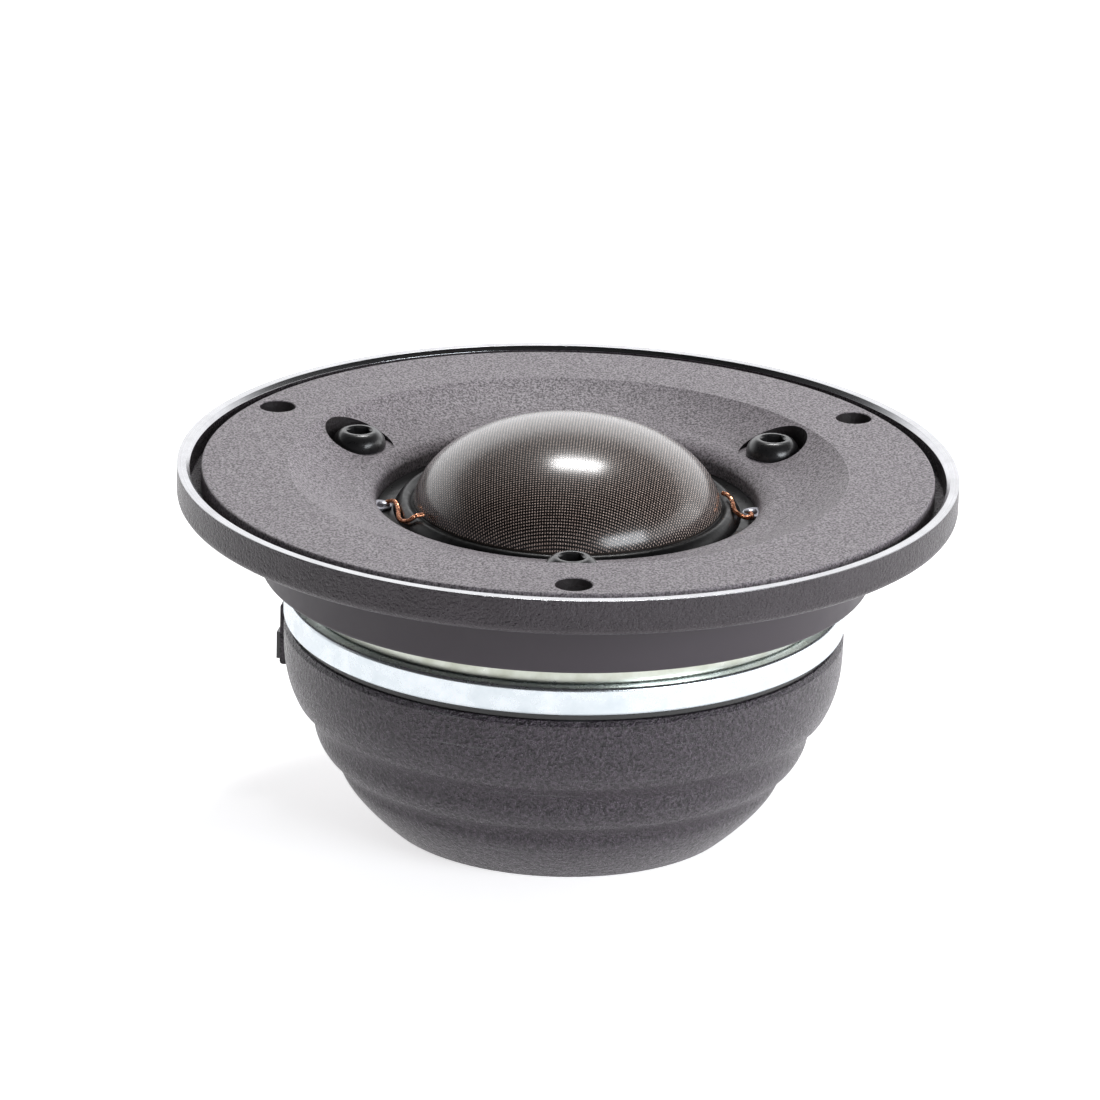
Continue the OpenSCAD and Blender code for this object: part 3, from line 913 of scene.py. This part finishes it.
def solder_tab(side, name, node):
    """A tinned tab with a rounded nose and a blob of solder on the lead."""
    width, nose = TAB_HIGH.y - TAB_LOW.y, 8
    inner, outer = TAB_LOW.x, TAB_HIGH.x
    bend = width / 2
    outline = [(outer, -bend), (outer, bend)]
    outline += [
        (inner + bend - bend * math.sin(math.pi * k / nose), bend * math.cos(math.pi * k / nose))
        for k in range(nose + 1)
    ]
    bm = bmesh.new()
    low = [bm.verts.new((side * x, y, TAB_LOW.z)) for x, y in outline]
    high = [bm.verts.new((side * x, y, TAB_HIGH.z)) for x, y in outline]
    bm.faces.new(low)
    bm.faces.new(high)
    for i in range(len(outline)):
        n = (i + 1) % len(outline)
        bm.faces.new((low[i], low[n], high[n], high[i]))
    bmesh.ops.bevel(bm, geom=list(bm.edges), offset=0.05, segments=2, affect="EDGES", clamp_overlap=True)
    blob = lathe([(0, -0.1), (0.62, -0.1), (0.6, 0.06), (0.5, 0.2), (0.3, 0.3), (0, 0.34)], 32, closed=False)
    at(blob, side * (inner + 0.75), -0.1, TAB_HIGH.z + 0.02)
    piece = make(name, joined([bm, blob]), "frame")
    wear(piece, plated("tinned_" + name, (0.50, 0.50, 0.54), (0.38, 0.38, 0.43), 0.4))
    return stands_for(piece, node)


def diaphragm_ring():
    piece = turned("diaphragm_ring_body", [
        (RING_INNER_R, RING_LOW.z), (RING_HIGH.x, RING_LOW.z), (RING_HIGH.x, RING_HIGH.z),
        (RING_INNER_R, RING_HIGH.z),
    ], radius=0.1)
    wear(piece, gloss_black("ring_moulding", 0.35, 0.006, coat=0.0, specular=0.25))
    return stands_for(piece, "diaphragm_ring")


def top_plate():
    piece = turned("top_plate_body", [
        (GAP_R, TOP_LOW.z), (TOP_HIGH.x, TOP_LOW.z, 0.2), (TOP_HIGH.x, TOP_HIGH.z, 0.2), (GAP_R, TOP_HIGH.z),
    ])
    wear(piece, plated("zinc_yellow", (0.62, 0.645, 0.585), (0.50, 0.52, 0.43), 0.3))
    return stands_for(piece, "top_plate")


def magnet():
    piece = turned("magnet_body", [
        (MAGNET_BORE_R, MAGNET_LOW.z), (MAGNET_HIGH.x, MAGNET_LOW.z, 0.28),
        (MAGNET_HIGH.x, MAGNET_HIGH.z, 0.28), (MAGNET_BORE_R, MAGNET_HIGH.z),
    ])
    wear(piece, plated("nickel_plate", (0.70, 0.74, 0.77), (0.60, 0.655, 0.69), 0.26))
    return stands_for(piece, "magnet")


def chamber_gasket():
    low, high = GASKET_LOW, GASKET_HIGH
    piece = turned("chamber_gasket_body", [
        (24.25, low.z), (high.x, low.z), (high.x, high.z), (24.25, high.z),
    ], radius=0.1)
    wear(piece, gloss_black("gasket_rubber", 0.45, 0.010))
    return stands_for(piece, "chamber_gasket")


def tier_outline(tier, steps=16):
    top_r, top_z, low_r, low_z, power = tier
    return [
        (top_r - (top_r - low_r) * (k / steps) ** power, top_z - (top_z - low_z) * k / steps)
        for k in range(steps + 1)
    ]


def cove(start, end, steps=10):
    """The hollow curve from the foot of one tier to the top of the next, without its two ends."""
    (start_r, start_z), (end_r, end_z) = start, end
    return [
        (
            start_r - (start_r - end_r) * (1 - (1 - k / steps) ** 2),
            start_z - (start_z - end_z) * k / steps,
        )
        for k in range(1, steps)
    ]


def blade_slots():
    """Room for the part of each blade that hangs down outside the cup."""
    room = 0.02
    return [
        block((BLADE_OUTER_R - BLADE_T - room, BLADE_OUTER_R + room), (-w / 2 - room, w / 2 + room),
              (BLADE_FOOT, BLADE_TOP + room), turn)
        for turn, w in BLADES
    ]


def rear_cup():
    one, two, three = TIERS
    outside = [
        (one[0] - 0.35, CUP_RIM), *tier_outline(one), *cove(one[2:4], two[:2]),
        *tier_outline(two), *cove(two[2:4], three[:2]), *tier_outline(three),
    ]
    ledge_z = low_high("back_plate")[0].z
    lining = [
        (0, 0), (0, 2.2), (14.8, 2.2), (17.5, 4.4), (18.9, 6), (20.3, 9), (22.2, 12.2),
        (22.2, ledge_z), (24.25, ledge_z), (24.25, CUP_RIM),
    ]
    piece = make("rear_cup_body", lathe(lining + outside, 384), "frame")
    pad = rounded([(23.9, PAD_LOW), (PAD_R, PAD_LOW, 0.3), (PAD_R, CUP_RIM, 0.3), (24.4, CUP_RIM, 0.1)], 0.05)
    cut(piece, [sector(pad, BLOCK_BEARING, PAD_HALF_ANGLE)], "UNION")
    window = [(19.6, WINDOW_LOW), (27.6, WINDOW_LOW), (27.6, WINDOW_HIGH), (19.6, WINDOW_HIGH)]
    cut(piece, [sector(window, BLOCK_BEARING + WINDOW_TURN, WINDOW_HALF_ANGLE)] + blade_slots())
    wear(piece, cup_coat())
    return stands_for(piece, "rear_cup")


# ---------------------------------------------------------------- scene


def floor():
    s = Shader("floor_white")
    s.set(colour=(0.93, 0.93, 0.935, 1), rough=0.7, specular=0.2)
    s.base.inputs["Emission Color"].default_value = (1, 0.995, 1, 1)
    s.base.inputs["Emission Strength"].default_value = 0.7
    bm = bmesh.new()
    bmesh.ops.create_grid(bm, x_segments=8, y_segments=8, size=3 / MM)
    obj = make("floor", bm)
    wear(obj, s.material)


def area_light(name, bearing, elevation, distance, size, power, colour=(1, 1, 1)):
    """A softbox aimed at the object. Bearing 0 is on the camera's side, 90 on +X."""
    data = bpy.data.lights.new(name, "AREA")
    data.shape = "RECTANGLE"
    data.size, data.size_y = size
    data.energy = power
    data.color = colour
    light = bpy.data.objects.new(name, data)
    bpy.context.scene.collection.objects.link(light)
    b, e = math.radians(bearing), math.radians(elevation)
    away = Vector((math.sin(b) * math.cos(e), -math.cos(b) * math.cos(e), math.sin(e)))
    target = Vector((0, 0, FRONT * MM))
    light.location = target + away * distance
    light.rotation_mode = "QUATERNION"
    light.rotation_quaternion = (-away).to_track_quat("-Z", "Y")


def world():
    """A white wall low down behind the object, and a dim room above, beside and in front of it."""
    made = bpy.data.worlds.new("studio")
    bpy.context.scene.world = made
    made.use_nodes = True
    tree = made.node_tree
    back = tree.nodes["Background"]
    back.inputs["Color"].default_value = (0.98, 0.985, 1, 1)

    def step(value, low, high, from_level, to_level):
        node = tree.nodes.new("ShaderNodeMapRange")
        node.interpolation_type = "SMOOTHSTEP"
        limits = {"From Min": low, "From Max": high, "To Min": from_level, "To Max": to_level}
        for key, number in limits.items():
            node.inputs[key].default_value = number
        tree.links.new(value, node.inputs["Value"])
        return node.outputs["Result"]

    place = tree.nodes.new("ShaderNodeTexCoord")
    split = tree.nodes.new("ShaderNodeSeparateXYZ")
    tree.links.new(place.outputs["Generated"], split.inputs[0])
    product = tree.nodes.new("ShaderNodeMath")
    product.operation = "MULTIPLY"
    tree.links.new(step(split.outputs["Z"], 0.42, 0.6, 1.7, 0.15), product.inputs[0])
    tree.links.new(step(split.outputs["Y"], -0.1, 0.8, 0.04, 1.0), product.inputs[1])
    tree.links.new(product.outputs[0], back.inputs["Strength"])


def camera():
    """Looks down on the ring from the front through a long lens, turned a little on its own axis."""
    bearing, elevation, roll = math.radians(-1.4), math.radians(19.2), math.radians(1.62)
    pan, tilt = math.radians(0.15), math.radians(0.69)
    distance = 18 * FLANGE_HIGH.x * MM
    target = Vector((0, 0, FRONT * MM))
    away = Vector((
        math.sin(bearing) * math.cos(elevation),
        -math.cos(bearing) * math.cos(elevation),
        math.sin(elevation),
    ))
    level = Vector((math.cos(bearing), math.sin(bearing), 0))
    rise = away.cross(level)
    right = math.cos(roll) * level + math.sin(roll) * rise
    up = math.cos(roll) * rise - math.sin(roll) * level
    ahead = (-away - right * math.tan(pan) - up * math.tan(tilt)).normalized()
    right = (right - ahead * right.dot(ahead)).normalized()
    up = right.cross(ahead)
    data = bpy.data.cameras.new("camera")
    data.sensor_width = 36
    data.lens = 230.3
    data.clip_start, data.clip_end = 0.05, 20
    obj = bpy.data.objects.new("camera", data)
    bpy.context.scene.collection.objects.link(obj)
    turn = Matrix((right, up, -ahead)).transposed()
    obj.matrix_world = Matrix.Translation(target + away * distance) @ turn.to_4x4()
    bpy.context.scene.camera = obj


camera()
world()
floor()
area_light("softbox_back", 172, 61, 0.5, (0.14, 0.08), 1.2)
area_light("softbox_front", 44, 20, 0.6, (0.34, 0.2), 2.2, (0.92, 0.96, 1))
area_light("softbox_right", 92, 6, 0.6, (0.6, 0.45), 1.5)
scene = bpy.context.scene
scene.view_settings.view_transform = "Standard"

flange_ring()
collar()
face_plate()
face_screws()
dome()
surround()
lead(1, RIGHT_STOPS, "lead_strands_right", "lead_right")
lead(-1, LEFT_STOPS, "lead_strands_left", "lead_left")
solder_tab(1, "solder_tab_plate_right", "solder_tab_right")
solder_tab(-1, "solder_tab_plate_left", "solder_tab_left")
diaphragm_ring()
top_plate()
magnet()
chamber_gasket()
rear_cup()

bare_steel = machined("bare_steel", (0.56, 0.56, 0.57), 0.35)
wear_cad("back_plate", bare_steel)
wear_cad("pole_piece", bare_steel)
wear_cad("copper_cap", copper("cap_copper"))
wear_cad("voice_coil", copper("winding_copper", (0.75, 0.30, 0.12), (0.40, 0.13, 0.05), 0.35))
wear_cad("coil_former", film("former_film", (0.03, 0.022, 0.018), (0.05, 0.036, 0.03), 0.45))
wear_cad("pole_felt", felt("wool_felt", (0.30, 0.29, 0.27), (0.45, 0.44, 0.41)))
wear_cad("chamber_foam", foam("chamber_foam", (0.09, 0.09, 0.10), (0.03, 0.03, 0.035)))
wear_cad("terminal_block", gloss_black("block_moulding", 0.32, 0.012))
tin = plated("blade_tin", (0.86, 0.84, 0.78), (0.70, 0.68, 0.60), 0.28)
wear_cad("terminal_positive", tin)
wear_cad("terminal_negative", tin)
wear_cad("wire_positive", film("red_insulation", (0.45, 0.02, 0.015), (0.55, 0.03, 0.02), 0.4))
wear_cad("wire_negative", gloss_black("black_insulation", 0.4, 0.012))
